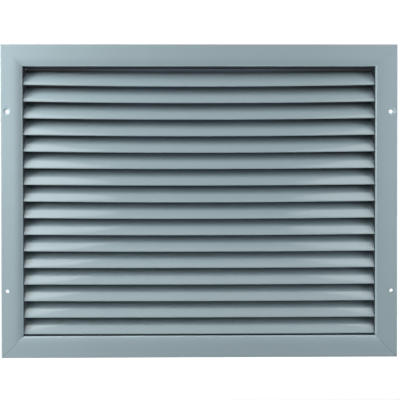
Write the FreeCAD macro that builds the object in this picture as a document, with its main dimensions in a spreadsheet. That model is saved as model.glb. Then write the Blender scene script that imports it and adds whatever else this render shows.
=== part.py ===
"""Fixed-blade air grille: a folded sheet frame, mitred at its corners, that
holds a stack of hemmed louvre blades.

Axes: X to the right, Z up, the face looks along -Y. The origin is the middle
of the wall plane, so the flange stands in front of it and the neck behind it.
"""

import FreeCAD
import Part
import Sketcher

import math
import os

SIZES = {
    # frame, in millimetres
    "overall_width": 475.0,
    "overall_height": 375.0,
    "flange_width": 25.5,
    "flange_standoff": 3.5,
    "frame_sheet": 1.2,
    "edge_bend_radius": 2.0,
    "slope_radius": 18.0,
    "slope_turn": 30.0,
    "lip_radius": 2.4,
    "side_neck_depth": 25.0,
    "end_neck_depth": 16.0,
    # fixing holes in the two side members
    "hole_inset": 7.6,
    "hole_spacing": 215.0,
    "hole_diameter": 4.5,
    "countersink_diameter": 9.5,
    # louvre blades
    "blade_sheet": 0.8,
    "blade_count": 16,
    "blade_height": 25.0,
    "first_blade_drop": 22.0,
    "last_blade_clearance": 2.0,
    "blade_setback": 2.0,
    "nose_radius": 1.0,
    "hem_length": 4.0,
    "front_angle": 60.0,
    "rear_angle": 50.0,
    "bend_height": 9.9,
    "bend_radius": 3.0,
    # blade tabs and the slots that they are folded over behind
    "blade_end_gap": 0.6,
    "tab_start": 4.6,
    "tab_width": 5.0,
    "tab_fold": 4.0,
    "slot_clearance": 0.12,
    # gussets behind the mitres
    "gusset_sheet": 1.2,
    "gusset_leg": 40.0,
    "gusset_width": 11.0,
    "gusset_edge_gap": 0.6,
}

FLANGE = "Sizes.flange_width"
OPENING_WIDTH = "(Sizes.overall_width - 2 * Sizes.flange_width)"
BLADE_LENGTH = f"({OPENING_WIDTH} - 2 * Sizes.blade_end_gap)"
FIRST_BLADE_Z = "(Sizes.overall_height / 2 - Sizes.flange_width - Sizes.first_blade_drop)"
LAST_BLADE_Z = "(Sizes.flange_width + Sizes.last_blade_clearance - Sizes.overall_height / 2)"
BLADE_STACK = f"({FIRST_BLADE_Z} - {LAST_BLADE_Z})"
ORIGIN_POINT = (-1, 1)


def make_sheet(doc):
    """Write the driving sizes into the spreadsheet, one row each."""
    sheet = doc.addObject("Spreadsheet::Sheet", "Sizes")
    for row, (name, value) in enumerate(SIZES.items(), start=1):
        sheet.set(f"A{row}", name)
        sheet.set(f"B{row}", str(value))
        sheet.setAlias(f"B{row}", name)
    doc.recompute()
    return sheet


def origin_item(body, role):
    """One of the body's own origin planes or axes."""
    return next(item for item in body.Origin.OriginFeatures if item.Role == role)


def new_sketch(body, name, plane, offset=None, turn=None):
    """A sketch on an origin plane, moved and turned by expressions."""
    sketch = body.newObject("Sketcher::SketchObject", name)
    sketch.AttachmentSupport = [(origin_item(body, plane), "")]
    sketch.MapMode = "FlatFace"
    for axis, expression in (offset or {}).items():
        sketch.setExpression(f"AttachmentOffset.Base.{axis}", expression)
    if turn:
        sketch.setExpression("AttachmentOffset.Rotation.Angle", turn)
    return sketch


def bind(sketch, name, expression, *constraint):
    """Add a named dimension to the sketch and tie it to the sheet."""
    index = sketch.addConstraint(Sketcher.Constraint(*constraint))
    sketch.renameConstraint(index, name)
    sketch.setExpression(f"Constraints.{name}", expression)


def add_leg(sketch, point, heading, length):
    """A straight face of the sheet; returns its entry for the chain."""
    end = point + heading * length
    index = sketch.addGeometry(Part.LineSegment(point, end))
    return {"index": index, "start": 1, "end": 2, "leaves_at": end}


def add_bend(sketch, point, heading, radius, turn):
    """A bend to the right; the chain enters at its end point."""
    to_centre = FreeCAD.Vector(heading.y, -heading.x, 0)
    centre = point + to_centre * radius
    first = math.atan2(-to_centre.y, -to_centre.x)
    last = first - math.radians(turn)
    circle = Part.Circle(centre, FreeCAD.Vector(0, 0, 1), radius)
    index = sketch.addGeometry(Part.ArcOfCircle(circle, last, first))
    end = centre + FreeCAD.Vector(math.cos(last), math.sin(last), 0) * radius
    return {"index": index, "start": 2, "end": 1, "leaves_at": end}


def turned_right(heading, turn):
    """The heading after a bend to the right."""
    angle = math.atan2(heading.y, heading.x) - math.radians(turn)
    return FreeCAD.Vector(math.cos(angle), math.sin(angle), 0)


def folded_section(sketch, start, heading, steps, thickness):
    """Draw a folded sheet's section: its face, its back and its two cut ends.

    The face is on the left of the path and every bend turns right. A step is
    ("leg", length) or ("bend", face radius, turn). Returns the face's items.
    """
    chains = {0.0: [], thickness: []}
    for depth, chain in chains.items():
        direction = heading
        point = start + FreeCAD.Vector(heading.y, -heading.x, 0) * depth
        for step in steps:
            if step[0] == "leg":
                item = add_leg(sketch, point, direction, step[1])
            else:
                item = add_bend(sketch, point, direction, step[1] - depth, step[2])
                direction = turned_right(direction, step[2])
            chain.append(item)
            point = item["leaves_at"]
        for before, after in zip(chain, chain[1:]):
            sketch.addConstraint(Sketcher.Constraint(
                "Tangent", before["index"], before["end"], after["index"], after["start"]))
    face, back = chains[0.0], chains[thickness]
    for step, outer, inner in zip(steps, face, back):
        if step[0] == "leg":
            sketch.addConstraint(Sketcher.Constraint("Parallel", outer["index"], inner["index"]))
        else:
            sketch.addConstraint(Sketcher.Constraint(
                "Coincident", outer["index"], 3, inner["index"], 3))
    cut_start = close_section(sketch, face[0], back[0], "start")
    close_section(sketch, face[-1], back[-1], "end")
    return [item["index"] for item in face], cut_start


def close_section(sketch, face, back, where):
    """The square-cut edge that joins the face to the back at one end."""
    corners = []
    for item in (face, back):
        corners.append(sketch.getPoint(item["index"], item[where]))
    index = sketch.addGeometry(Part.LineSegment(*corners))
    for point, item in ((1, face), (2, back)):
        sketch.addConstraint(Sketcher.Constraint(
            "Coincident", index, point, item["index"], item[where]))
    sketch.addConstraint(Sketcher.Constraint("Perpendicular", index, face["index"]))
    return index


def rectangle(sketch, left, low, wide, tall):
    """A rectangle whose place and size are (value, expression) pairs."""
    corner = FreeCAD.Vector(left[0], low[0], 0)
    across = FreeCAD.Vector(wide[0], 0, 0)
    up = FreeCAD.Vector(0, tall[0], 0)
    corners = [corner, corner + across, corner + across + up, corner + up]
    closed_outline(sketch, corners)
    for line, direction in enumerate(("Horizontal", "Vertical", "Horizontal", "Vertical")):
        sketch.addConstraint(Sketcher.Constraint(direction, line))
    bind(sketch, "left", left[1], "DistanceX", *ORIGIN_POINT, 0, 1, left[0])
    bind(sketch, "low", low[1], "DistanceY", *ORIGIN_POINT, 0, 1, low[0])
    bind(sketch, "wide", wide[1], "DistanceX", 0, 1, 0, 2, wide[0])
    bind(sketch, "tall", tall[1], "DistanceY", 1, 1, 1, 2, tall[0])


def closed_outline(sketch, corners):
    """Straight lines round the corners, joined end to end."""
    for index, corner in enumerate(corners):
        following = corners[(index + 1) % len(corners)]
        sketch.addGeometry(Part.LineSegment(corner, following))
    for index in range(len(corners)):
        sketch.addConstraint(Sketcher.Constraint(
            "Coincident", index, 2, (index + 1) % len(corners), 1))


def frame_section(body, neck):
    """The folded section: return edge, face, rolled slope, lip and neck."""
    sketch = new_sketch(body, "Section", "YZ_Plane")
    standoff = SIZES["flange_standoff"]
    edge, slope, lip = SIZES["edge_bend_radius"], SIZES["slope_radius"], SIZES["lip_radius"]
    turn = SIZES["slope_turn"]
    sine = math.sin(math.radians(turn))
    flat = SIZES["flange_width"] - edge - slope * sine - lip * (1 - sine)
    steps = [
        ("leg", standoff - edge),
        ("bend", edge, 90.0),
        ("leg", flat),
        ("bend", slope, turn),
        ("bend", lip, 90.0 - turn),
        ("leg", SIZES[neck]),
    ]
    heading = FreeCAD.Vector(-1, 0, 0)
    face, cut = folded_section(sketch, FreeCAD.Vector(), heading, steps, SIZES["frame_sheet"])
    edge_leg, edge_bend, flat_leg, slope_bend, lip_bend, neck_leg = face
    sketch.addConstraint(Sketcher.Constraint("Coincident", edge_leg, 1, *ORIGIN_POINT))
    for leg, direction in ((edge_leg, "Horizontal"), (flat_leg, "Vertical"), (neck_leg, "Horizontal")):
        sketch.addConstraint(Sketcher.Constraint(direction, leg))
    bind(sketch, "sheet", "Sizes.frame_sheet", "Distance", cut, SIZES["frame_sheet"])
    bind(sketch, "edge_radius", "Sizes.edge_bend_radius", "Radius", edge_bend, edge)
    bind(sketch, "slope_radius", "Sizes.slope_radius", "Radius", slope_bend, slope)
    bind(sketch, "slope_turn", "Sizes.slope_turn", "Angle", slope_bend, math.radians(turn))
    bind(sketch, "lip_radius", "Sizes.lip_radius", "Radius", lip_bend, lip)
    bind(sketch, "standoff", "Sizes.flange_standoff", "DistanceX", flat_leg, 1, *ORIGIN_POINT, standoff)
    bind(sketch, "flange", FLANGE, "DistanceY", *ORIGIN_POINT, neck_leg, 2, SIZES["flange_width"])
    bind(sketch, "neck", f"Sizes.{neck}", "DistanceX", *ORIGIN_POINT, neck_leg, 2, SIZES[neck])
    return sketch


def cut_mitre(body, length):
    """Cut the right-hand end at 45 degrees, from the outer corner inwards."""
    sketch = new_sketch(body, "Mitre", "XZ_Plane")
    half = SIZES[length] / 2
    reach = 2 * SIZES["flange_width"]
    corners = [
        FreeCAD.Vector(half, 0, 0),
        FreeCAD.Vector(half, reach, 0),
        FreeCAD.Vector(half - reach, reach, 0),
    ]
    closed_outline(sketch, corners)
    sketch.addConstraint(Sketcher.Constraint("Vertical", 0))
    sketch.addConstraint(Sketcher.Constraint("Horizontal", 1))
    sketch.addConstraint(Sketcher.Constraint("Equal", 0, 1))
    sketch.addConstraint(Sketcher.Constraint("PointOnObject", 0, 1, -1))
    bind(sketch, "half_length", f"Sizes.{length} / 2", "DistanceX", *ORIGIN_POINT, 0, 1, half)
    bind(sketch, "reach", f"2 * {FLANGE}", "DistanceY", 0, 1, 0, 2, reach)
    pocket = body.newObject("PartDesign::Pocket", "MitreCut")
    pocket.Profile = sketch
    pocket.Type = "ThroughAll"
    pocket.Midplane = True
    return pocket


def place_on_face(feature, body, height):
    """Stand a cone or cylinder on the fixing hole's axis, pointing forward."""
    feature.AttachmentSupport = [(origin_item(body, "XZ_Plane"), "")]
    feature.MapMode = "FlatFace"
    feature.setExpression("AttachmentOffset.Base.x", "Sizes.hole_spacing / 2")
    feature.setExpression("AttachmentOffset.Base.y", "Sizes.hole_inset")
    feature.setExpression("AttachmentOffset.Base.z", height)


def press_dimple(body):
    """A dimple pressed back to the wall plane, for a countersunk screw."""
    boss = body.newObject("PartDesign::AdditiveCone", "DimpleBack")
    place_on_face(boss, body, "0")
    at_back = "(Sizes.countersink_diameter / 2 - Sizes.flange_standoff + Sizes.frame_sheet / cos(45))"
    boss_height = "(Sizes.flange_standoff - Sizes.frame_sheet / 2)"
    boss.setExpression("Radius1", at_back)
    boss.setExpression("Radius2", f"{at_back} + {boss_height}")
    boss.setExpression("Height", boss_height)
    cone = body.newObject("PartDesign::SubtractiveCone", "Countersink")
    cone_depth = "(Sizes.countersink_diameter - Sizes.hole_diameter) / 2"
    place_on_face(cone, body, f"Sizes.flange_standoff - {cone_depth}")
    cone.setExpression("Radius1", "Sizes.hole_diameter / 2")
    cone.setExpression("Radius2", "Sizes.countersink_diameter / 2")
    cone.setExpression("Height", cone_depth)
    hole = body.newObject("PartDesign::SubtractiveCylinder", "FixingHole")
    place_on_face(hole, body, "-Sizes.frame_sheet")
    hole.setExpression("Radius", "Sizes.hole_diameter / 2")
    hole.setExpression("Height", "Sizes.flange_standoff + 2 * Sizes.frame_sheet")
    return [boss, cone, hole]


def cut_blade_slots(body, count):
    """The row of slots in the neck that the blades' tabs pass through."""
    offset = {
        "x": f"{FIRST_BLADE_Z} + Sizes.nose_radius",
        "y": "Sizes.blade_setback + Sizes.nose_radius",
        "z": FLANGE,
    }
    sketch = new_sketch(body, "BladeSlot", "XY_Plane", offset, "90 - Sizes.front_angle")
    gap = SIZES["slot_clearance"]
    start, width = SIZES["tab_start"] - gap, SIZES["tab_width"] + 2 * gap
    low, tall = -SIZES["nose_radius"] - gap, SIZES["blade_sheet"] + 2 * gap
    rectangle(
        sketch,
        (start, "Sizes.tab_start - Sizes.slot_clearance"),
        (low, "-Sizes.nose_radius - Sizes.slot_clearance"),
        (width, "Sizes.tab_width + 2 * Sizes.slot_clearance"),
        (tall, "Sizes.blade_sheet + 2 * Sizes.slot_clearance"),
    )
    slot = body.newObject("PartDesign::Pocket", "SlotCut")
    slot.Profile = sketch
    slot.Midplane = True
    slot.setExpression("Length", "4 * Sizes.frame_sheet")
    row = body.newObject("PartDesign::LinearPattern", "SlotRow")
    row.Originals = [slot]
    row.Direction = (origin_item(body, "X_Axis"), [""])
    row.Reversed = True
    row.Occurrences = count
    row.setExpression("Length", BLADE_STACK)
    body.Tip = row


def mirror_over_middle(body, name, originals):
    """Repeat features on the other side of the body's YZ plane."""
    mirrored = body.newObject("PartDesign::Mirrored", name)
    mirrored.Originals = originals
    mirrored.MirrorPlane = (origin_item(body, "YZ_Plane"), [""])
    body.Tip = mirrored


def frame_member(doc, name, length, neck, blade_count=0):
    """One frame side, lying along X with its outer edge on the X axis."""
    body = doc.addObject("PartDesign::Body", name)
    body.Label = name
    pad = body.newObject("PartDesign::Pad", "Folded")
    pad.Profile = frame_section(body, neck)
    pad.Midplane = True
    pad.setExpression("Length", f"Sizes.{length}")
    mirror_over_middle(body, "BothMitres", [cut_mitre(body, length)])
    if blade_count:
        mirror_over_middle(body, "BothDimples", press_dimple(body))
    if blade_count:
        cut_blade_slots(body, blade_count)
    return body


def place(item, turn, offset):
    """Turn an object about the depth axis and move it by expressions."""
    item.Placement = FreeCAD.Placement(
        FreeCAD.Vector(), FreeCAD.Rotation(FreeCAD.Vector(0, 1, 0), turn))
    for axis, expression in offset.items():
        item.setExpression(f"Placement.Base.{axis}", expression)


def make_frame(doc, count):
    """The four mitred members; the left one is the right one's mirror image."""
    bottom = frame_member(doc, "frame_bottom", "overall_width", "end_neck_depth")
    place(bottom, 0, {"z": "-Sizes.overall_height / 2"})
    top = frame_member(doc, "frame_top", "overall_width", "end_neck_depth")
    place(top, 180, {"z": "Sizes.overall_height / 2"})
    right = frame_member(doc, "frame_right", "overall_height", "side_neck_depth", count)
    place(right, -90, {"x": "Sizes.overall_width / 2"})
    left = doc.addObject("Part::Mirroring", "frame_left")
    left.Label = "frame_left"
    left.Source = right
    left.Normal = FreeCAD.Vector(1, 0, 0)
    return [bottom, top, right, left]


def blade_section(body):
    """The blade's section: hem, rounded nose, front facet and rear facet."""
    sketch = new_sketch(body, "Section", "YZ_Plane")
    front, rear = SIZES["front_angle"], SIZES["rear_angle"]
    nose = SIZES["nose_radius"]
    heading = FreeCAD.Vector(-math.cos(math.radians(front)), -math.sin(math.radians(front)), 0)
    away = FreeCAD.Vector(-heading.y, heading.x, 0)
    centre = FreeCAD.Vector(nose, nose, 0)
    start = centre + away * nose - heading * SIZES["hem_length"]
    front_length = SIZES["bend_height"] / math.sin(math.radians(front))
    rise = SIZES["blade_height"] - SIZES["bend_height"]
    steps = [
        ("leg", SIZES["hem_length"]),
        ("bend", nose, 180.0),
        ("leg", front_length - nose),
        ("bend", SIZES["bend_radius"], front - rear),
        ("leg", rise / math.sin(math.radians(rear))),
    ]
    face, cut = folded_section(sketch, start, heading, steps, SIZES["blade_sheet"])
    hem, nose_bend, front_leg, facet_bend, rear_leg = face
    sketch.addConstraint(Sketcher.Constraint("Parallel", hem, front_leg))
    bind(sketch, "sheet", "Sizes.blade_sheet", "Distance", cut, SIZES["blade_sheet"])
    bind(sketch, "hem", "Sizes.hem_length", "Distance", hem, SIZES["hem_length"])
    bind(sketch, "nose", "Sizes.nose_radius", "Radius", nose_bend, nose)
    bind(sketch, "nose_front", "Sizes.nose_radius", "DistanceX", *ORIGIN_POINT, nose_bend, 3, nose)
    bind(sketch, "nose_low", "Sizes.nose_radius", "DistanceY", *ORIGIN_POINT, nose_bend, 3, nose)
    bind(sketch, "front_angle", "Sizes.front_angle", "Angle", front_leg, math.radians(front))
    bind(sketch, "rear_angle", "Sizes.rear_angle", "Angle", rear_leg, math.radians(rear))
    bind(sketch, "bend_height", "Sizes.bend_height", "DistanceY", *ORIGIN_POINT, front_leg, 2,
         SIZES["bend_height"])
    bind(sketch, "bend_radius", "Sizes.bend_radius", "Radius", facet_bend, SIZES["bend_radius"])
    bind(sketch, "height", "Sizes.blade_height", "DistanceY", *ORIGIN_POINT, rear_leg, 2,
         SIZES["blade_height"])
    return sketch


def blade_tab(body):
    """The tab that passes through the neck and is folded over behind it."""
    pads = []
    inside = "Sizes.blade_end_gap"
    through = "Sizes.blade_end_gap + Sizes.frame_sheet + Sizes.slot_clearance"
    sheet, nose = SIZES["blade_sheet"], SIZES["nose_radius"]
    shapes = {
        "Tab": (f"-{inside}", f"{inside} + {through} + Sizes.blade_sheet", "0", 0.0),
        "Fold": (through, "Sizes.blade_sheet", "Sizes.tab_fold", SIZES["tab_fold"]),
    }
    for name, (from_end, length, fold, fold_value) in shapes.items():
        offset = {"x": "Sizes.nose_radius", "y": "Sizes.nose_radius",
                  "z": f"{BLADE_LENGTH} / 2 + {from_end}"}
        sketch = new_sketch(body, f"{name}Outline", "YZ_Plane", offset, "Sizes.front_angle")
        rectangle(
            sketch,
            (SIZES["tab_start"], "Sizes.tab_start"),
            (nose - sheet - fold_value, f"Sizes.nose_radius - Sizes.blade_sheet - {fold}"),
            (SIZES["tab_width"], "Sizes.tab_width"),
            (sheet + fold_value, f"Sizes.blade_sheet + {fold}"),
        )
        pad = body.newObject("PartDesign::Pad", name)
        pad.Profile = sketch
        pad.setExpression("Length", length)
        pads.append(pad)
    return pads


def louvre_blade(doc, number, count):
    """One blade, held by its two tabs; number 1 is at the top."""
    body = doc.addObject("PartDesign::Body", f"louvre_blade_{number:02d}")
    body.Label = body.Name
    pad = body.newObject("PartDesign::Pad", "Folded")
    pad.Profile = blade_section(body)
    pad.Midplane = True
    pad.setExpression("Length", BLADE_LENGTH)
    mirror_over_middle(body, "BothTabs", blade_tab(body))
    share = f"{number - 1} / (Sizes.blade_count - 1)"
    place(body, 0, {"y": "Sizes.blade_setback", "z": f"{FIRST_BLADE_Z} - {BLADE_STACK} * {share}"})
    return body


def corner_gusset(doc, name, turn, across, up):
    """A flat L behind one mitre, spot-welded to the back of both faces."""
    body = doc.addObject("PartDesign::Body", name)
    body.Label = name
    sketch = new_sketch(body, "Outline", "XZ_Plane")
    inset = SIZES["edge_bend_radius"] + SIZES["gusset_edge_gap"]
    leg, width = SIZES["gusset_leg"], SIZES["gusset_width"]
    corners = [(0, 0), (leg, 0), (leg, width), (width, width), (width, leg), (0, leg)]
    closed_outline(sketch, [FreeCAD.Vector(inset + x, inset + y, 0) for x, y in corners])
    for line, direction in enumerate(("Horizontal", "Vertical") * 3):
        sketch.addConstraint(Sketcher.Constraint(direction, line))
    sketch.addConstraint(Sketcher.Constraint("Equal", 0, 5))
    sketch.addConstraint(Sketcher.Constraint("Equal", 1, 4))
    edge = "Sizes.edge_bend_radius + Sizes.gusset_edge_gap"
    bind(sketch, "inset_x", edge, "DistanceX", *ORIGIN_POINT, 0, 1, inset)
    bind(sketch, "inset_y", edge, "DistanceY", *ORIGIN_POINT, 0, 1, inset)
    bind(sketch, "leg", "Sizes.gusset_leg", "DistanceX", 0, 1, 0, 2, leg)
    bind(sketch, "width", "Sizes.gusset_width", "DistanceY", 1, 1, 1, 2, width)
    pad = body.newObject("PartDesign::Pad", "Plate")
    pad.Profile = sketch
    pad.Reversed = True
    pad.setExpression("Length", "Sizes.gusset_sheet")
    place(body, turn, {"x": across, "y": "Sizes.frame_sheet - Sizes.flange_standoff", "z": up})
    return body


def make_gussets(doc):
    """One gusset behind each mitred corner."""
    left, right = "-Sizes.overall_width / 2", "Sizes.overall_width / 2"
    low, high = "-Sizes.overall_height / 2", "Sizes.overall_height / 2"
    return [
        corner_gusset(doc, "corner_gusset_bottom_left", 0, left, low),
        corner_gusset(doc, "corner_gusset_bottom_right", -90, right, low),
        corner_gusset(doc, "corner_gusset_top_right", 180, right, high),
        corner_gusset(doc, "corner_gusset_top_left", 90, left, high),
    ]


def check(doc, parts):
    """Stop before anything is written if an object failed or is no solid."""
    for item in doc.Objects:
        if "Invalid" in item.State or "Error" in item.State:
            raise RuntimeError(f"{item.Name} failed: {item.State}")
    for part in parts:
        shape = part.Shape
        if shape.isNull() or not shape.isValid() or len(shape.Solids) != 1:
            raise RuntimeError(f"{part.Label} is not one valid solid")


def main():
    """Build the grille, check it and write one STEP file for each piece."""
    doc = FreeCAD.newDocument("LouvrePanel")
    make_sheet(doc)
    count = SIZES["blade_count"]
    parts = make_frame(doc, count)
    parts += [louvre_blade(doc, number, count) for number in range(1, count + 1)]
    parts += make_gussets(doc)
    doc.recompute()
    check(doc, parts)
    os.makedirs("parts", exist_ok=True)
    for part in parts:
        part.Shape.exportStep(f"parts/{part.Label}.step")
        box = part.Shape.BoundBox
        print(part.Label, round(part.Shape.Volume, 1), "mm3",
              [round(value, 2) for value in (box.XMin, box.XMax, box.YMin, box.YMax, box.ZMin, box.ZMax)])


main()
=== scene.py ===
# %% [markdown]
# # A louvred grille of folded, powder-coated sheet steel
#
# The real grille is four folded frame members, mitred at the corners like a picture frame, with
# sixteen folded blades hung between the two upright members. Everything carries the same
# blue-grey powder coat. The imported model is loaded first, because the blades and the paint
# below are fitted to it, and its own box is kept to place the studio and the camera by.

import math

import bmesh
import bpy
from bpy_extras.object_utils import world_to_camera_view
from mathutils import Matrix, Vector


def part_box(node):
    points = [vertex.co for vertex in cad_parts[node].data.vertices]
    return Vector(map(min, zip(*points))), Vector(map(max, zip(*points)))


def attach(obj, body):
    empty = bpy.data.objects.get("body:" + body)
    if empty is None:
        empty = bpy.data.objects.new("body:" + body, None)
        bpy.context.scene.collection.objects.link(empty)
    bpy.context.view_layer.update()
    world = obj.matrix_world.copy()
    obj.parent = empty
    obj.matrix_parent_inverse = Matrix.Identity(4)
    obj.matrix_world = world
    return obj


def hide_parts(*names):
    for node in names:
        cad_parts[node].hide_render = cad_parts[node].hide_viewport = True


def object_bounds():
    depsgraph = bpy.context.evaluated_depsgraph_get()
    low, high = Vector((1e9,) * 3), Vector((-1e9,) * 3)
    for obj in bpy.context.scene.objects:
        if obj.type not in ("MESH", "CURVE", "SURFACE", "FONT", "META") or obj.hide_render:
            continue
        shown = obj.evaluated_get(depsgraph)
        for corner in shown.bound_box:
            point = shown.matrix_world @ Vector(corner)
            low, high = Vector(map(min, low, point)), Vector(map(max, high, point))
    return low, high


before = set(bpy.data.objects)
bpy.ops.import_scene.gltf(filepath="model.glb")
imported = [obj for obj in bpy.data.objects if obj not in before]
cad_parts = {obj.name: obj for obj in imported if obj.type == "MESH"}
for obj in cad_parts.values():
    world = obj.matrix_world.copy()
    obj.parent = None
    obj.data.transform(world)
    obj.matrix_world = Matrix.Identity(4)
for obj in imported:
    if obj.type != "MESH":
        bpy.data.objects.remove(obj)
grille_low, grille_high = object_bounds()
print("the packed grille fills", [round(v * 1000, 1) for v in grille_high - grille_low], "mm")

# %% [markdown]
# The opening, the blade spacing and the ends of the blades are all facts about the packed
# nodes. Reading them here means that the blades made below still fit their slots when the
# grille is packed again at another size.

# %% Read the sizes that the blades must fit
BLADE_NODES = sorted(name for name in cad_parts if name.startswith("louvre_blade_"))
MEMBER_NODES = ["frame_left", "frame_right", "frame_top", "frame_bottom"]
GUSSET_NODES = sorted(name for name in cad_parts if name.startswith("corner_gusset_"))

first_low, first_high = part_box(BLADE_NODES[0])
last_low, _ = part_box(BLADE_NODES[-1])
right_low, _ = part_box("frame_right")
top_low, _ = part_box("frame_top")
PITCH = (first_low.z - last_low.z) / (len(BLADE_NODES) - 1)
OPENING_HALF_WIDTH = right_low.x
OPENING_HALF_HEIGHT = top_low.z
print(len(BLADE_NODES), "blades", round(PITCH * 1000, 2), "mm apart")
print("opening", round(OPENING_HALF_WIDTH * 2000), "x", round(OPENING_HALF_HEIGHT * 2000), "mm")

# %% [markdown]
# ## The blade's section
#
# A blade starts as a strip of thin sheet. Its front edge is hemmed, which is to say folded flat
# on itself, so that the hand meets a round nose and not a raw edge. One shallow bend then
# splits the strip into a steep front facet and a flatter rear one. Rolled strip is never quite
# flat, so the front facet is crowned by three degrees from nose to bend, which softens the ends
# of its reflections.
#
# A section could be drawn with a curve and a bevel, but a pair of offset lines says the same
# thing as the press does: one face, and the other face one sheet thickness away. So the section
# is walked like a path, leg by leg and bend by bend, and the back is the same walk on the other
# side.

# %% Walk the folded section
MM = 0.001
SHEET = 0.8 * MM
NOSE_RADIUS = 1.0 * MM
HEM = 4.0 * MM
FRONT_ANGLE = math.radians(60)
REAR_ANGLE = math.radians(50)
CROWN = math.radians(3)
BEND_HEIGHT = 9.9 * MM
BEND_RADIUS = 3.0 * MM
BLADE_HEIGHT = first_high.z - first_low.z
GENTLE_BEND = 1.0  # radians; a bend that turns less than this is walked in fine steps
FINE_STEP = math.radians(4)
COARSE_STEP = math.radians(15)
FEWEST_STEPS = 3


def walk(start, heading, steps, side):
    """Points (back, up) along one face, which lies inwards by side; bends turn clockwise."""
    (y, z), angle = start, heading
    points = [(y + side * math.sin(angle), z - side * math.cos(angle))]
    for length, radius, turn in steps:
        if radius == 0:
            y += length * math.cos(angle)
            z += length * math.sin(angle)
            points.append((y + side * math.sin(angle), z - side * math.cos(angle)))
            continue
        centre_y, centre_z = y + radius * math.sin(angle), z - radius * math.cos(angle)
        fineness = FINE_STEP if turn < GENTLE_BEND else COARSE_STEP
        count = max(FEWEST_STEPS, round(abs(turn) / fineness))
        reach = radius - side
        for step in range(1, count + 1):
            now = angle - turn * step / count
            points.append((centre_y - reach * math.sin(now), centre_z + reach * math.cos(now)))
        angle -= turn
        y, z = centre_y - radius * math.sin(angle), centre_z + radius * math.cos(angle)
    return points


def blade_section():
    """The closed section of one blade, nose at the front, as (back, up) points."""
    heading = FRONT_ANGLE + math.pi
    along = (math.cos(FRONT_ANGLE), math.sin(FRONT_ANGLE))
    away = (math.sin(FRONT_ANGLE), -math.cos(FRONT_ANGLE))
    start = tuple(NOSE_RADIUS + away[i] * NOSE_RADIUS + along[i] * HEM for i in (0, 1))
    nose_top = NOSE_RADIUS + NOSE_RADIUS * math.cos(FRONT_ANGLE)
    facet = (BEND_HEIGHT - nose_top) / math.sin(FRONT_ANGLE)
    facet_end = FRONT_ANGLE - CROWN / 2
    bend_rise = BEND_RADIUS * (math.cos(REAR_ANGLE) - math.cos(facet_end))
    rear_rise = BLADE_HEIGHT - BEND_HEIGHT - bend_rise
    steps = [  # length, radius, turn
        (HEM, 0, 0),
        (0, NOSE_RADIUS, math.pi - CROWN / 2),
        (0, facet / (2 * math.sin(CROWN / 2)), CROWN),
        (0, BEND_RADIUS, facet_end - REAR_ANGLE),
        (rear_rise / math.sin(REAR_ANGLE), 0, 0),
    ]
    return walk(start, heading, steps, 0.0) + walk(start, heading, steps, SHEET)[::-1]


section = blade_section()
section_height = max(up for _, up in section)
print("the section has", len(section), "points, up to", round(section_height * 1000, 2), "mm high")

# %% [markdown]
# ## One blade
#
# The section is swept along the blade's length in short steps, so that the blade can sag
# later. A blade is held by a tab at each end: a tongue of the same sheet that goes through a
# slot in the upright member and is folded over behind it. The tongue and its fold are an
# L-shaped strip, swept across the sheet, and laid in the front facet.

# %% Sweep the section and fold the end tabs
END_GAP = 0.6 * MM
BLADE_HALF_LENGTH = OPENING_HALF_WIDTH - END_GAP
STATIONS = 48
TAB_START = 4.6 * MM
TAB_WIDTH = 5.0 * MM
TAB_FOLD = 4.0 * MM
TAB_ROOT = 0.4 * MM  # how far the tongue is let into the blade
TAB_REACH = first_high.x
# the round of the fold: how far each point stops short of the reach, and how deep it lies
FOLD_ROUND = [(0.55 * MM, 0), (0.18 * MM, 0.13 * MM), (0, 0.5 * MM)]
SHARP_EDGE = math.radians(35)


def sweep(mesh, rings):
    """Joins closed rings of points into one closed skin."""
    rows = [[mesh.verts.new(point) for point in ring] for ring in rings]
    for near, far in zip(rows, rows[1:]):
        for i, corner in enumerate(near):
            after = (i + 1) % len(near)
            mesh.faces.new((corner, near[after], far[after], far[i]))
    mesh.faces.new(rows[0][::-1])
    mesh.faces.new(rows[-1])


def end_tab(mesh, side):
    """The tongue through the slot and its fold, in the plane of the front facet."""
    along = Vector((0, math.cos(FRONT_ANGLE), math.sin(FRONT_ANGLE)))
    inwards = Vector((0, math.sin(FRONT_ANGLE), -math.cos(FRONT_ANGLE)))
    nose = Vector((0, NOSE_RADIUS, NOSE_RADIUS)) - inwards * NOSE_RADIUS
    root, back, tip = BLADE_HALF_LENGTH - TAB_ROOT, TAB_REACH - SHEET, SHEET + TAB_FOLD
    shape = [(root, 0)] + [(TAB_REACH - short, deep) for short, deep in FOLD_ROUND]
    shape += [(TAB_REACH, tip), (back, tip), (back, SHEET), (root, SHEET)]
    rings = []
    for start in (TAB_START, TAB_START + TAB_WIDTH):
        edge = nose + along * start
        rings.append([edge + inwards * deep + Vector((side * out, 0, 0)) for out, deep in shape])
    sweep(mesh, rings)


def one_blade():
    """A single blade with its nose corner at the origin."""
    mesh = bmesh.new()
    rings = []
    for step in range(STATIONS + 1):
        x = BLADE_HALF_LENGTH * (2 * step / STATIONS - 1)
        rings.append([Vector((x, y, z)) for y, z in section])
    sweep(mesh, rings)
    for side in (-1, 1):
        end_tab(mesh, side)
    bmesh.ops.recalc_face_normals(mesh, faces=mesh.faces)
    data = bpy.data.meshes.new("louvre_blades")
    mesh.to_mesh(data)
    mesh.free()
    data.shade_smooth()
    data.set_sharp_from_angle(angle=SHARP_EDGE)
    return data


blades = bpy.data.objects.new("louvre_blades", one_blade())
bpy.context.scene.collection.objects.link(blades)
print("one blade has", len(blades.data.polygons), "faces and is", end=" ")
print(round(BLADE_HALF_LENGTH * 2000, 1), "mm long")

# %% [markdown]
# ## Small tools for node trees
#
# Paints and repeats are both trees of small nodes. These helpers make one node, one sum or one
# ramp in a line, and a value can be a plain number or another node's output, so that the trees
# below read as what they do and not as a list of links.

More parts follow.
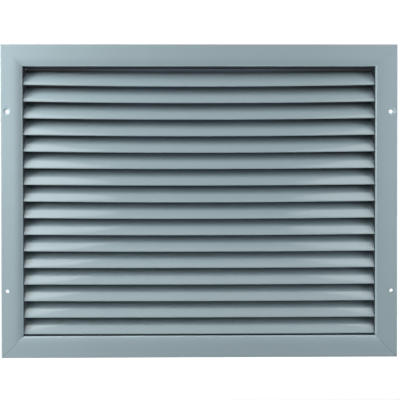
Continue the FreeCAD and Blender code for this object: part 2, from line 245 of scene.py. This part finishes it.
# %% Make the node helpers
MIX_SHARE, MIX_FIRST, MIX_SECOND, MIX_RESULT = 0, 6, 7, 2  # a colour Mix node's sockets


def add(tree, kind, **settings):
    """A node with its settings made in one line."""
    node = tree.nodes.new(kind)
    for name, value in settings.items():
        setattr(node, name, value)
    return node


def feed(tree, socket, value):
    """Links another node's output to a socket, or else sets a plain value on it."""
    if isinstance(value, bpy.types.NodeSocket):
        tree.links.new(value, socket)
    else:
        socket.default_value = value


def maths(tree, operation, *values):
    """One Math node; returns its output."""
    node = add(tree, "ShaderNodeMath", operation=operation)
    for socket, value in zip(node.inputs, values):
        feed(tree, socket, value)
    return node.outputs[0]


def parts(tree, vector):
    """The X, Y and Z of a vector."""
    node = add(tree, "ShaderNodeSeparateXYZ")
    feed(tree, node.inputs[0], vector)
    return node.outputs


def mapped(tree, value, old, new, **settings):
    """Maps the range old, as (from, to), on to the range new, and holds the ends."""
    node = add(tree, "ShaderNodeMapRange", **settings)
    feed(tree, node.inputs["Value"], value)
    for name, limit in zip(("From Min", "From Max", "To Min", "To Max"), (*old, *new)):
        feed(tree, node.inputs[name], limit)
    return node.outputs["Result"]


def ramp(tree, value, start, end):
    """Rises smoothly from nought at start to one at end."""
    smooth = {"interpolation_type": "SMOOTHSTEP"}
    if start < end:
        return mapped(tree, value, (start, end), (0.0, 1.0), **smooth)
    return mapped(tree, value, (end, start), (1.0, 0.0), **smooth)


def mixed(tree, share, first, second, blend="MIX"):
    """Two colours mixed, or one multiplied by the other, by a share."""
    node = add(tree, "ShaderNodeMix", data_type="RGBA", blend_type=blend)
    for socket, value in ((MIX_SHARE, share), (MIX_FIRST, first), (MIX_SECOND, second)):
        feed(tree, node.inputs[socket], value)
    return node.outputs[MIX_RESULT]


def new_group(name, kind, inputs, outputs):
    """An empty node group with named sockets; returns it, what it is given and its result."""
    tree = bpy.data.node_groups.new(name, kind)
    for direction, wanted in (("INPUT", inputs), ("OUTPUT", outputs)):
        for label, sort, *value in wanted:
            sort = "NodeSocket" + sort
            socket = tree.interface.new_socket(label, in_out=direction, socket_type=sort)
            if value:
                socket.default_value = value[0]
    given, result = add(tree, "NodeGroupInput"), add(tree, "NodeGroupOutput")
    return tree, given.outputs, result.inputs


def use_group(tree, group, values):
    """Places a node group and feeds its named inputs; returns the node."""
    node = add(tree, "ShaderNodeGroup", node_tree=group)
    for name, value in values.items():
        feed(tree, node.inputs[name], value)
    return node


def linear(red, green, blue):
    """A screen colour, 0 to 255 and not near black, as the linear one that a shader works in."""
    return [((shade / 255 + 0.055) / 1.055) ** 2.4 for shade in (red, green, blue)] + [1.0]


print("a screen grey of 128 is", round(linear(128, 128, 128)[0], 3), "in linear light")

# %% [markdown]
# ## The powder coat
#
# Powder paint is sprayed on dry and melted in an oven. It flows into an even, semi-gloss skin
# with a fine unevenness called orange peel, and its tone drifts very slightly where the film
# is thicker or thinner. The frame and the blades share that skin, so it is one node group with
# named inputs, and each material sets its own values. The group gives out a colour, a
# roughness and a height, and the shader itself stays in the material.

# %% Build the shared powder coat group
DRIFT_DETAIL, PEEL_DETAIL = 3, 1


def noise(tree, place, size, detail):
    """A noise texture whose lumps are about this size in metres."""
    node = add(tree, "ShaderNodeTexNoise")
    feed(tree, node.inputs["Detail"], detail)
    feed(tree, node.inputs["Scale"], maths(tree, "DIVIDE", 1.0, size))
    feed(tree, node.inputs["Vector"], place)
    return node.outputs["Fac"]


def powder_coat_group():
    """An even paint whose tone and gloss drift together, with orange peel as its height."""
    tree, given, result = new_group(
        "powder coat",
        "ShaderNodeTree",
        [
            ("Place", "Vector"),
            ("Peel Size", "Float", 1.6 * MM),
            ("Drift Size", "Float", 90 * MM),
            ("Thin Film", "Color"),
            ("Thick Film", "Color"),
            ("Gloss Side", "Float"),
            ("Matt Side", "Float"),
        ],
        [("Colour", "Color"), ("Roughness", "Float"), ("Height", "Float")],
    )
    drift = noise(tree, given["Place"], given["Drift Size"], DRIFT_DETAIL)
    peel = noise(tree, given["Place"], given["Peel Size"], PEEL_DETAIL)
    tone = mixed(tree, drift, given["Thin Film"], given["Thick Film"])
    gloss = mapped(tree, drift, (0.0, 1.0), (given["Gloss Side"], given["Matt Side"]))
    feed(tree, result["Colour"], tone)
    feed(tree, result["Roughness"], gloss)
    feed(tree, result["Height"], peel)
    return tree


POWDER_COAT = powder_coat_group()
print("powder coat group:", len(POWDER_COAT.nodes), "nodes")

# %% [markdown]
# Sprayed powder is charged, so it hardly reaches the bottom of a narrow place, and the paint
# is made duller there. Its colour is darkened there as well, and that is painted shade, far
# darker than sparse powder would be. The blades need it deep between each other and the frame
# needs it inside its neck, so it is a second shared group. A mask says where the shade is
# painted, and a second mask says where it is darkest, as in a corner.

# %% Build the shared painted shade group
DULLER = 0.6


def painted_shade_group():
    """The given colour and roughness where the mask is nought, painted shade and duller paint
    where it is one.
    """
    tree, given, result = new_group(
        "painted shade",
        "ShaderNodeTree",
        [
            ("Colour", "Color"),
            ("Roughness", "Float"),
            ("Mask", "Float"),
            ("Corner Mask", "Float"),
            ("Tone Left", "Color"),
            ("Corner Tone Left", "Color"),
        ],
        [("Colour", "Color"), ("Roughness", "Float")],
    )
    # painted shade: the colour is multiplied by a dark tone, darker still towards the corners
    left = mixed(tree, given["Corner Mask"], given["Tone Left"], given["Corner Tone Left"])
    darkened = mixed(tree, given["Mask"], given["Colour"], left, "MULTIPLY")
    dull = maths(tree, "MULTIPLY_ADD", given["Mask"], DULLER, given["Roughness"])
    feed(tree, result["Colour"], darkened)
    feed(tree, result["Roughness"], dull)
    return tree


PAINTED_SHADE = painted_shade_group()
print("painted shade group:", len(PAINTED_SHADE.nodes), "nodes")

# %% [markdown]
# Each material places the coat, feeds it the Object coordinates, and hands what comes out to
# one Principled shader. The peel is a bump of a few hundredths of a millimetre, and it is far
# weaker on the blades, whose rolled strip takes the powder smoothly and mirrors the lights.
#
# The blades' painted shade begins behind the bend, on the upper faces alone, and grows darker
# towards the two ends, where the frame's wall closes the space from the side as well. The paint
# is made duller there too.

# %% Make the blade paint
PEEL_HEIGHT = 0.06 * MM
BLADE_PEEL = 0.08
BLADE_THIN_TONE = linear(141, 160, 166)
BLADE_THICK_TONE = linear(147, 166, 172)
BLADE_GLOSS, BLADE_MATT = 0.03, 0.05
SHADE_STARTS, SHADE_DARKEST = 11.5 * MM, 15.5 * MM  # behind the wall's plane
UPPER_STARTS, UPPER_FULL = 0.1, -0.3  # the normal's Y, which is -1 for a face to the front
CORNER_STARTS, CORNER_FULL = 150 * MM, 40 * MM  # in from the side of the opening
# painted shade: the share of the paint's colour left deep between the blades, and at their ends
BLADE_SHADE_TONE = (0.25, 0.28, 0.35, 1)
BLADE_CORNER_SHADE_TONE = (0.03, 0.03, 0.04, 1)


def painted(name, film_tones, roughnesses, peel_strength):
    """A material that wears the powder coat; returns it with the nodes that others reach into."""
    material = bpy.data.materials.new(name)
    material.use_nodes = True
    tree = material.node_tree
    shader = tree.nodes["Principled BSDF"]
    place = add(tree, "ShaderNodeTexCoord")
    values = {"Place": place.outputs["Object"]}
    values["Thin Film"], values["Thick Film"] = film_tones
    values["Gloss Side"], values["Matt Side"] = roughnesses
    coat = use_group(tree, POWDER_COAT, values)
    bump = add(tree, "ShaderNodeBump")
    feed(tree, bump.inputs["Strength"], peel_strength)
    feed(tree, bump.inputs["Distance"], PEEL_HEIGHT)
    feed(tree, bump.inputs["Height"], coat.outputs["Height"])
    feed(tree, shader.inputs["Base Color"], coat.outputs["Colour"])
    feed(tree, shader.inputs["Roughness"], coat.outputs["Roughness"])
    feed(tree, shader.inputs["Normal"], bump.outputs["Normal"])
    return material, {
        "tree": tree,
        "shader": shader,
        "place": place.outputs["Object"],
        "normal": place.outputs["Normal"],
        "coat": coat.outputs,
        "bump": bump,
    }


def blade_painted_shade(nodes):
    """Painted shade deep between two blades, on the upper faces, and most of all near the ends."""
    tree, coat = nodes["tree"], nodes["coat"]
    where = parts(tree, nodes["place"])
    deep = ramp(tree, where["Y"], SHADE_STARTS, SHADE_DARKEST)
    upper = ramp(tree, parts(tree, nodes["normal"])["Y"], UPPER_STARTS, UPPER_FULL)
    across = maths(tree, "ABSOLUTE", where["X"])
    corner_starts = OPENING_HALF_WIDTH - CORNER_STARTS
    corner_full = OPENING_HALF_WIDTH - CORNER_FULL
    values = {
        "Colour": coat["Colour"],
        "Roughness": coat["Roughness"],
        "Mask": maths(tree, "MULTIPLY", deep, upper),
        "Corner Mask": ramp(tree, across, corner_starts, corner_full),
        "Tone Left": BLADE_SHADE_TONE,
        "Corner Tone Left": BLADE_CORNER_SHADE_TONE,
    }
    dark_paint = use_group(tree, PAINTED_SHADE, values)
    feed(tree, nodes["shader"].inputs["Base Color"], dark_paint.outputs["Colour"])
    feed(tree, nodes["shader"].inputs["Roughness"], dark_paint.outputs["Roughness"])


blade_paint, blade_nodes = painted(
    "blade_powder_coat",
    (BLADE_THIN_TONE, BLADE_THICK_TONE),
    (BLADE_GLOSS, BLADE_MATT),
    BLADE_PEEL,
)
blade_painted_shade(blade_nodes)
print("blade paint:", [round(v, 3) for v in BLADE_THIN_TONE[:3]])

# %% [markdown]
# ## The frame paint
#
# Two things set the frame's coat apart, and both are painted light. Where the sheet turns away
# from the front, on the lip and the rims of the fixing holes, a highlight is painted: the paint
# is made lighter there, and smoother. Just behind the lip, inside the neck, shade is painted:
# the paint is made dark and dull there.
#
# The four members meet at mitres, and the powder nearly bridges each one, so that all that is
# left is a hairline, and at the top hardly that. The members themselves are real solids that
# meet face to face; the hairline is a narrow dip on the line where a member's place across
# equals its place up, plus the difference of the frame's half sides. It darkens the paint a
# little and dents the bump.

# %% Make the frame paint with its mitre hairlines
FRAME_PEEL = 0.35
FRAME_THIN_TONE = linear(139, 157, 163)
FRAME_THICK_TONE = linear(145, 163, 169)
FRAME_GLOSS, FRAME_MATT = 0.34, 0.42
FOLD_STARTS, FOLD_FULL = -0.84, -0.66  # the normal's Y, which is -1 for a face to the front
BACK_STARTS, BACK_FULL = 0.3, 0.1
# a painted highlight: the paint's colour is lifted by half where the sheet turns from the front
FOLD_HIGHLIGHT = (1.5, 1.5, 1.5, 1)
FOLD_SHINE = 0.15
INSIDE_STARTS, INSIDE_FULL = 0.9 * MM, 0.5 * MM  # outwards from the neck's inner face
NECK_SHADE_STARTS, NECK_SHADE_DARKEST = 1.4 * MM, 2.8 * MM  # behind the wall's plane
# painted shade: the share of the paint's colour left inside the neck
NECK_SHADE_TONE = (0.036, 0.04, 0.048, 1)
MITRE_HALF_LINE = 0.7 * MM
MITRE_HEIGHTS = (-150 * MM, 150 * MM)
MITRE_SHOWS = (0.6, 0.15)  # at the lower height and at the upper one
MITRE_TONE_LEFT = (0.25, 0.25, 0.25, 1)
MITRE_DENT = 12.0


def mitre_group():
    """One on the line of the mitre, falling to nought at the half line's distance."""
    tree, given, result = new_group(
        "mitre hairline",
        "ShaderNodeTree",
        [("Place", "Vector"), ("Side Difference", "Float"), ("Half Line", "Float")],
        [("Mask", "Float")],
    )
    where = parts(tree, given["Place"])
    across, up = maths(tree, "ABSOLUTE", where["X"]), maths(tree, "ABSOLUTE", where["Z"])
    off = maths(tree, "SUBTRACT", across, up)
    away = maths(tree, "ABSOLUTE", maths(tree, "SUBTRACT", off, given["Side Difference"]))
    smooth = {"interpolation_type": "SMOOTHSTEP"}
    line = mapped(tree, away, (0.0, given["Half Line"]), (1.0, 0.0), **smooth)
    feed(tree, result["Mask"], line)
    return tree


def painted_fold_highlight(nodes):
    """Paints a highlight where the sheet turns away from the front, by lightening the paint, and
    polishes it there.
    """
    tree, coat = nodes["tree"], nodes["coat"]
    facing = parts(tree, nodes["normal"])["Y"]
    away = ramp(tree, facing, FOLD_STARTS, FOLD_FULL)
    not_behind = ramp(tree, facing, BACK_STARTS, BACK_FULL)
    turned = maths(tree, "MULTIPLY", away, not_behind)
    # painted highlight: the colour is lightened where the face turns away from the front
    light = mixed(tree, turned, coat["Colour"], FOLD_HIGHLIGHT, "MULTIPLY")
    return light, maths(tree, "MULTIPLY_ADD", turned, -FOLD_SHINE, coat["Roughness"])


def neck_painted_shade(nodes, colour, roughness):
    """Painted shade on the inside of the neck alone, from just behind the lip."""
    tree = nodes["tree"]
    where = parts(tree, nodes["place"])
    across = maths(tree, "SUBTRACT", maths(tree, "ABSOLUTE", where["X"]), OPENING_HALF_WIDTH)
    up = maths(tree, "SUBTRACT", maths(tree, "ABSOLUTE", where["Z"]), OPENING_HALF_HEIGHT)
    inside = ramp(tree, maths(tree, "MAXIMUM", across, up), INSIDE_STARTS, INSIDE_FULL)
    deep = ramp(tree, where["Y"], NECK_SHADE_STARTS, NECK_SHADE_DARKEST)
    values = {
        "Colour": colour,
        "Roughness": roughness,
        "Mask": maths(tree, "MULTIPLY", deep, inside),
        "Tone Left": NECK_SHADE_TONE,
    }
    dark_paint = use_group(tree, PAINTED_SHADE, values).outputs
    return dark_paint["Colour"], dark_paint["Roughness"]


def add_mitres(nodes, colour, side_difference):
    """Lays the hairline over the paint; returns the colour and the height with it."""
    tree = nodes["tree"]
    values = {
        "Side Difference": side_difference,
        "Half Line": MITRE_HALF_LINE,
        "Place": nodes["place"],
    }
    line = use_group(tree, mitre_group(), values).outputs["Mask"]
    shows = mapped(tree, parts(tree, nodes["place"])["Z"], MITRE_HEIGHTS, MITRE_SHOWS)
    depth = maths(tree, "MULTIPLY", line, shows)
    shaded = mixed(tree, depth, colour, MITRE_TONE_LEFT, "MULTIPLY")
    dent = maths(tree, "MULTIPLY", depth, MITRE_DENT)
    return shaded, maths(tree, "SUBTRACT", nodes["coat"]["Height"], dent)


frame_paint, frame_nodes = painted(
    "frame_powder_coat",
    (FRAME_THIN_TONE, FRAME_THICK_TONE),
    (FRAME_GLOSS, FRAME_MATT),
    FRAME_PEEL,
)
frame_tree, frame_shader = frame_nodes["tree"], frame_nodes["shader"]
colour, roughness = painted_fold_highlight(frame_nodes)
colour, roughness = neck_painted_shade(frame_nodes, colour, roughness)
colour, height = add_mitres(frame_nodes, colour, grille_high.x - grille_high.z)
feed(frame_tree, frame_shader.inputs["Base Color"], colour)
feed(frame_tree, frame_shader.inputs["Roughness"], roughness)
feed(frame_tree, frame_nodes["bump"].inputs["Height"], height)
for name in MEMBER_NODES + GUSSET_NODES:
    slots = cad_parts[name].data.materials
    slots[0] = frame_paint
print("frame paint on", len(MEMBER_NODES + GUSSET_NODES), "nodes")

# %% [markdown]
# ## Sixteen blades from one
#
# The blades repeat at an even pitch, so Geometry Nodes lay them out: a line of points, one
# blade on each, made real. Held only at their ends, the blades hang a little in the middle,
# and the upper ones more than the lower ones, so each real blade is then let down along a
# shallow parabola, with a small fixed-seed difference from blade to blade.

# %% Build the blade stack tree
def blade_stack_tree():
    """A stack of copies of one blade, each with its own sag."""
    tree, given, result = new_group(
        "blade stack",
        "GeometryNodeTree",
        [
            ("Blade", "Geometry"),
            ("Count", "Int"),
            ("First Blade", "Vector"),
            ("Step", "Vector"),
            ("Half Length", "Float"),
            ("Sag At Top", "Float"),
            ("Sag At Bottom", "Float"),
            ("Unevenness", "Float"),
            ("Seed", "Int"),
            ("Paint", "Material"),
        ],
        [("Blades", "Geometry")],
    )
    link = tree.links.new

    # one point for each blade, from the top down
    line = add(tree, "GeometryNodeMeshLine", mode="OFFSET")
    link(given["Count"], line.inputs["Count"])
    link(given["First Blade"], line.inputs["Start Location"])
    link(given["Step"], line.inputs["Offset"])

    # how far each blade drops: a blend from top to bottom, and a little chance
    index = add(tree, "GeometryNodeInputIndex")
    chance = add(tree, "FunctionNodeRandomValue", data_type="FLOAT")
    least, most = chance.inputs[2], chance.inputs[3]
    least.default_value, most.default_value = -1.0, 1.0
    link(given["Seed"], chance.inputs["Seed"])
    gaps = maths(tree, "SUBTRACT", given["Count"], 1)
    sag = add(tree, "ShaderNodeMix", data_type="FLOAT")
    link(maths(tree, "DIVIDE", index.outputs[0], gaps), sag.inputs[0])
    link(given["Sag At Top"], sag.inputs[2])
    link(given["Sag At Bottom"], sag.inputs[3])
    uneven = maths(tree, "MULTIPLY", chance.outputs[1], given["Unevenness"])
    drop = maths(tree, "ADD", sag.outputs[0], uneven)

    # the drop is kept on the points, and follows each copy when it is made real
    keep = add(tree, "GeometryNodeCaptureAttribute", domain="POINT")
    keep.capture_items.new("FLOAT", "Drop")
    link(line.outputs["Mesh"], keep.inputs["Geometry"])
    link(drop, keep.inputs["Drop"])
    copies = add(tree, "GeometryNodeInstanceOnPoints")
    link(keep.outputs["Geometry"], copies.inputs["Points"])
    link(given["Blade"], copies.inputs["Instance"])
    real = add(tree, "GeometryNodeRealizeInstances")
    link(copies.outputs["Instances"], real.inputs["Geometry"])

    # a parabola: the whole drop in the middle, none at the ends
    place = add(tree, "GeometryNodeInputPosition")
    out = maths(tree, "DIVIDE", parts(tree, place.outputs[0])["X"], given["Half Length"])
    inner = maths(tree, "SUBTRACT", 1.0, maths(tree, "MULTIPLY", out, out))
    middle = maths(tree, "MAXIMUM", inner, 0.0)
    lowered = maths(tree, "MULTIPLY", keep.outputs["Drop"], middle)
    fall = add(tree, "ShaderNodeCombineXYZ")
    link(maths(tree, "MULTIPLY", lowered, -1.0), fall.inputs["Z"])
    hang = add(tree, "GeometryNodeSetPosition")
    link(real.outputs[0], hang.inputs["Geometry"])
    link(fall.outputs[0], hang.inputs["Offset"])

    paint = add(tree, "GeometryNodeSetMaterial")
    link(hang.outputs[0], paint.inputs["Geometry"])
    link(given["Paint"], paint.inputs["Material"])
    link(paint.outputs[0], result["Blades"])
    return tree


BLADE_STACK = blade_stack_tree()
print("blade stack tree:", len(BLADE_STACK.nodes), "nodes")

# %% [markdown]
# The tree is put to work on the one blade and its result is kept as a plain mesh. The stack
# then stands in for the sixteen packed blades and rides on the same body as they did. The
# sag is judged: under two millimetres at the top, and almost none at the bottom.

# %% Hang the blades in the frame
SAG_AT_TOP = 1.8 * MM
SAG_AT_BOTTOM = 0.3 * MM
SAG_UNEVENNESS = 0.3 * MM
SAG_SEED = 3


def use_tree(piece, tree, values):
    """Adds the tree to a piece, sets its inputs by their identifiers, and keeps the result."""
    modifier = piece.modifiers.new(tree.name, "NODES")
    modifier.node_group = tree
    for item in tree.interface.items_tree:
        if item.in_out == "INPUT" and item.name in values:
            modifier[item.identifier] = values[item.name]
    settled = piece.evaluated_get(bpy.context.evaluated_depsgraph_get())
    made = bpy.data.meshes.new_from_object(settled)
    piece.modifiers.remove(modifier)
    piece.data = made
    return made


made = use_tree(
    blades,
    BLADE_STACK,
    {
        "Count": len(BLADE_NODES),
        "First Blade": (0.0, first_low.y, first_low.z),
        "Step": (0.0, 0.0, -PITCH),
        "Half Length": BLADE_HALF_LENGTH,
        "Sag At Top": SAG_AT_TOP,
        "Sag At Bottom": SAG_AT_BOTTOM,
        "Unevenness": SAG_UNEVENNESS,
        "Seed": SAG_SEED,
        "Paint": blade_paint,
    },
)
made.name = "louvre_blades"
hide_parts(*BLADE_NODES)
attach(blades, "root")
print("all blades:", sum(len(p.vertices) - 2 for p in made.polygons), "triangles")

# %% [markdown]
# ## The studio
#
# The grille is a thing that hangs, so the floor lies well below it and a plain backdrop stands
# behind. Both look white because they answer the camera with plain white, while the light that
# they pass on to the grille stays that of grey paper. The floor is white in the grille's
# reflections as well.

# %% Lay the floor and the backdrop
STUDIO_HALF_WIDTH = 4.0
STUDIO_FRONT, STUDIO_BACK, STUDIO_TOP = -4.0, 2.5, 3.0
FLOOR = grille_low.z - 0.9
CAMERA_KINDS = ["Is Camera Ray", "Is Transmission Ray"]
MIRROR_KINDS = CAMERA_KINDS + ["Is Glossy Ray"]
GREY_PAPER = (0.2, 0.2, 0.2, 1)
PALE_PAPER = (0.8, 0.8, 0.8, 1)
WHITE = (1, 1, 1, 1)
PAPER_ROUGHNESS = 0.9
FLOOR_GLOW, BACKDROP_GLOW = 0.88, 1.0


def looked_at(tree, kinds):
    """One for the kinds of ray that carry what the camera sees, and nought for the rest."""
    rays = add(tree, "ShaderNodeLightPath")
    seen = rays.outputs[kinds[0]]
    for kind in kinds[1:]:
        seen = maths(tree, "MAXIMUM", seen, rays.outputs[kind])
    return seen


def paper(name, kinds, glow):
    """Paper that reads as white, shows shadows, and passes on only a little light."""
    material = bpy.data.materials.new(name)
    material.use_nodes = True
    tree = material.node_tree
    shader = tree.nodes["Principled BSDF"].inputs
    seen = looked_at(tree, kinds)
    feed(tree, shader["Roughness"], PAPER_ROUGHNESS)
    feed(tree, shader["Base Color"], mixed(tree, seen, GREY_PAPER, PALE_PAPER))
    feed(tree, shader["Emission Color"], WHITE)
    feed(tree, shader["Emission Strength"], maths(tree, "MULTIPLY", seen, glow))
    return material


def sheet(name, corners, material):
    """One flat sheet of the studio."""
    data = bpy.data.meshes.new(name)
    data.from_pydata(corners, [], [(0, 1, 2, 3)])
    data.materials.append(material)
    thing = bpy.data.objects.new(name, data)
    bpy.context.scene.collection.objects.link(thing)


left, right = -STUDIO_HALF_WIDTH, STUDIO_HALF_WIDTH
near_edge = [(left, STUDIO_FRONT, FLOOR), (right, STUDIO_FRONT, FLOOR)]
far_edge = [(right, STUDIO_BACK, FLOOR), (left, STUDIO_BACK, FLOOR)]
top_edge = [(right, STUDIO_BACK, STUDIO_TOP), (left, STUDIO_BACK, STUDIO_TOP)]
floor_paper = paper("floor_paper", MIRROR_KINDS, FLOOR_GLOW)
backdrop_paper = paper("backdrop_paper", CAMERA_KINDS, BACKDROP_GLOW)
sheet("floor", near_edge + far_edge, floor_paper)
sheet("backdrop", far_edge[::-1] + top_edge, backdrop_paper)
print("the floor lies", round(-FLOOR, 2), "m under the middle of the grille")

# %% [markdown]
# ## The lights
#
# All of the light comes from nine soft panels, and the room itself gives none: its white is
# there for the camera and for reflections only.
#
# The two strips stand close on either side, which is why the ends of the blades shine more than
# their middles. Four banks hang above, to the sides, in front and far off; they light the upper
# faces and leave the space under each blade dark. The two cards lie low and lift the faces that
# look down, as a pale floor does. The last bank stands low behind the grille, where it shows
# the back without shining through between the blades.

# %% Set the lights
def soft_light(name, place, aim, size, power):
    """A soft panel of light, width by height, turned to face a point."""
    data = bpy.data.lights.new(name, "AREA")
    data.shape = "RECTANGLE"
    data.size, data.size_y = size
    data.energy = power
    light = bpy.data.objects.new(name, data)
    bpy.context.scene.collection.objects.link(light)
    light.location = place
    light.rotation_euler = (Vector(aim) - Vector(place)).to_track_quat("-Z", "Y").to_euler()


soft_light("left_bank", (-0.69, -0.55, 0.95), (-0.05, 0.0, 0.0), (0.8, 0.7), 4.8)
soft_light("right_bank", (0.80, -0.55, 0.95), (0.05, 0.0, 0.0), (0.8, 0.7), 3.8)
soft_light("left_strip", (-0.55, -0.25, 0.20), (-0.1, 0.0, 0.0), (0.2, 0.5), 2.9)
soft_light("right_strip", (0.60, -0.28, 0.10), (0.1, 0.0, 0.0), (0.2, 0.5), 1.8)
soft_light("front_bank", (0.0, -1.5, 1.3), (0.0, 0.0, 0.0), (2.2, 0.9), 4.9)
soft_light("far_bank", (0.0, -3.4, 1.6), (0.0, 0.0, 0.0), (3.0, 1.0), 1.9)
soft_light("floor_card", (0.0, -0.35, -1.10), (0.0, 0.0, 0.10), (1.4, 0.5), 9.5)
soft_light("left_card", (-0.75, -0.55, -0.65), (-0.10, 0.0, -0.05), (0.6, 0.6), 3.0)
soft_light("rear_bank", (0.3, 1.2, -0.7), (0.0, 0.0, 0.0), (1.2, 0.8), 6.0)

world = bpy.data.worlds.new("studio")
bpy.context.scene.world = world
world.use_nodes = True
room = world.node_tree
dark = room.nodes["Background"]
dark.inputs["Strength"].default_value = 0.0
white = add(room, "ShaderNodeBackground")
white.inputs["Color"].default_value = WHITE
either = add(room, "ShaderNodeMixShader")
choices = (looked_at(room, MIRROR_KINDS), dark.outputs[0], white.outputs[0])
for socket, value in zip(either.inputs, choices):
    feed(room, socket, value)
feed(room, room.nodes["World Output"].inputs["Surface"], either.outputs[0])
bpy.context.scene.view_settings.view_transform = "Standard"

# %% [markdown]
# ## The camera
#
# It stands about 0.7 m in front, a touch to the left of the middle, and looks almost straight
# on, so that the two sides of the opening show slightly different depths. The lens is shifted
# more than the camera is turned, so that the frame's upright sides stay very nearly upright.

# %% Place the camera
CAMERA_DISTANCE = 0.7
CAMERA_ACROSS, CAMERA_UP = -0.027, 0.0012
TURN_RIGHT = math.radians(0.46)
TURN_DOWN = math.radians(0.58)
ROLL = math.radians(0.1)
PICTURE_SIDE = 400

camera_data = bpy.data.cameras.new("camera")
camera = bpy.data.objects.new("camera", camera_data)
bpy.context.scene.collection.objects.link(camera)
camera.location = (CAMERA_ACROSS, grille_low.y - CAMERA_DISTANCE, CAMERA_UP)
camera.rotation_euler = (math.pi / 2 - TURN_DOWN, ROLL, -TURN_RIGHT)
camera_data.sensor_width = 36.0
camera_data.lens = 52.75
camera_data.shift_x = 0.0456
camera_data.shift_y = 0.0156
camera_data.clip_start = 0.05
bpy.context.scene.camera = camera
bpy.context.view_layer.update()
for x, z in ((-1, 1), (1, 1), (-1, -1), (1, -1)):
    corner = Vector((x * grille_high.x, grille_low.y, z * grille_high.z))
    seen = world_to_camera_view(bpy.context.scene, camera, corner)
    across, down = seen.x * PICTURE_SIDE, (1 - seen.y) * PICTURE_SIDE
    print("corner", (x, z), "at", round(across, 1), round(down, 1))
